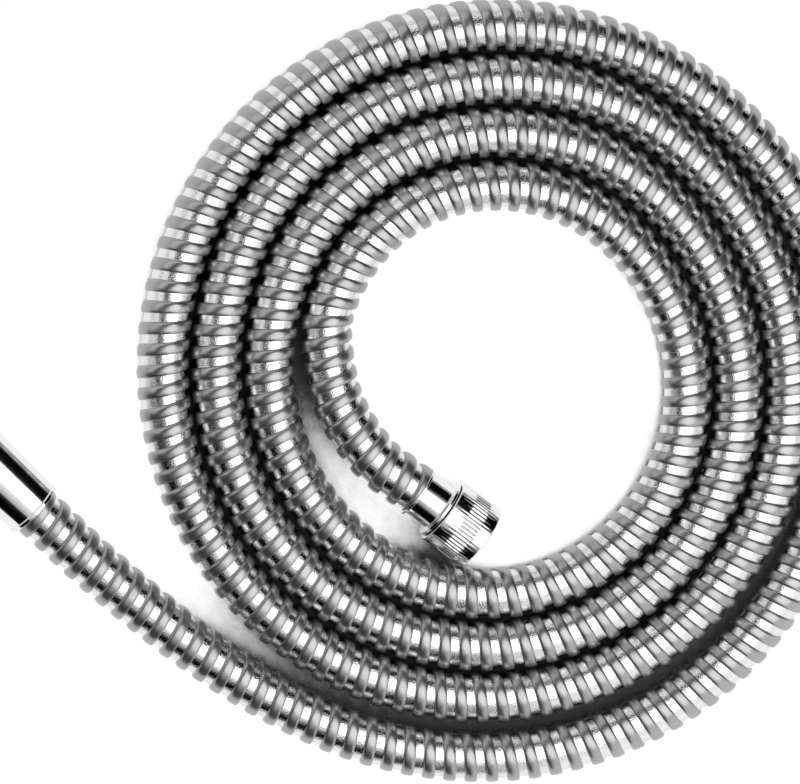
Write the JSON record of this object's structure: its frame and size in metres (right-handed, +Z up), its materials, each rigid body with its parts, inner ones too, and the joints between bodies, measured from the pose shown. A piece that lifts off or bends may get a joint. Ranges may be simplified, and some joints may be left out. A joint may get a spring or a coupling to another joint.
{
  "type": "shower hose",
  "caption": "Flexible metal-covered shower hose laid in a flat open coil, with a knurled swivel nut at the inner end and a conical swivel nut at the outer end.",
  "frame": {"origin": "middle of the underside of the whole coiled hose, on the surface it lies on", "axes": "+X along the knurled nut's axis, out of its mouth; +Z up from the surface the hose lies on"},
  "size_m": [0.2812, 0.2722, 0.024],
  "materials": {
    "outer_cover": "polished stainless strip",
    "inner_hose": "plain black rubber",
    "nut_collar": "polished chrome plate",
    "nut_stem": "turned brass",
    "nut_slide_ring": "natural nylon",
    "knurled_nut": "polished chrome plate",
    "nut_seal": "moulded rubber",
    "cone_ferrule": "drawn stainless sheet",
    "cone_stem": "turned brass",
    "cone_slide_ring": "natural nylon",
    "cone_nut": "polished chrome plate",
    "cone_seal": "moulded rubber"
  },
  "bodies": {
    "hose": {"outer_cover": "outer_cover", "inner_hose": "inner_hose", "nut_collar": "nut_collar", "nut_stem": "nut_stem", "nut_slide_ring": "nut_slide_ring", "cone_ferrule": "cone_ferrule", "cone_stem": "cone_stem", "cone_slide_ring": "cone_slide_ring"},
    "tap_nut": {"knurled_nut": "knurled_nut", "nut_seal": "nut_seal"},
    "handset_nut": {"cone_nut": "cone_nut", "cone_seal": "cone_seal"}
  },
  "joints": [
    {"name": "tap_nut_spin", "type": "hinge", "parent": "hose", "child": "tap_nut", "pos_m": [0.02632, -0.03907, 0.012], "axis": [1, 0, 0], "continuous": true},
    {"name": "handset_nut_spin", "type": "hinge", "parent": "hose", "child": "handset_nut", "pos_m": [-0.11643, -0.11946, 0.01128], "axis": [-0.9929, 0.1149, 0.0317], "continuous": true}
  ]
}
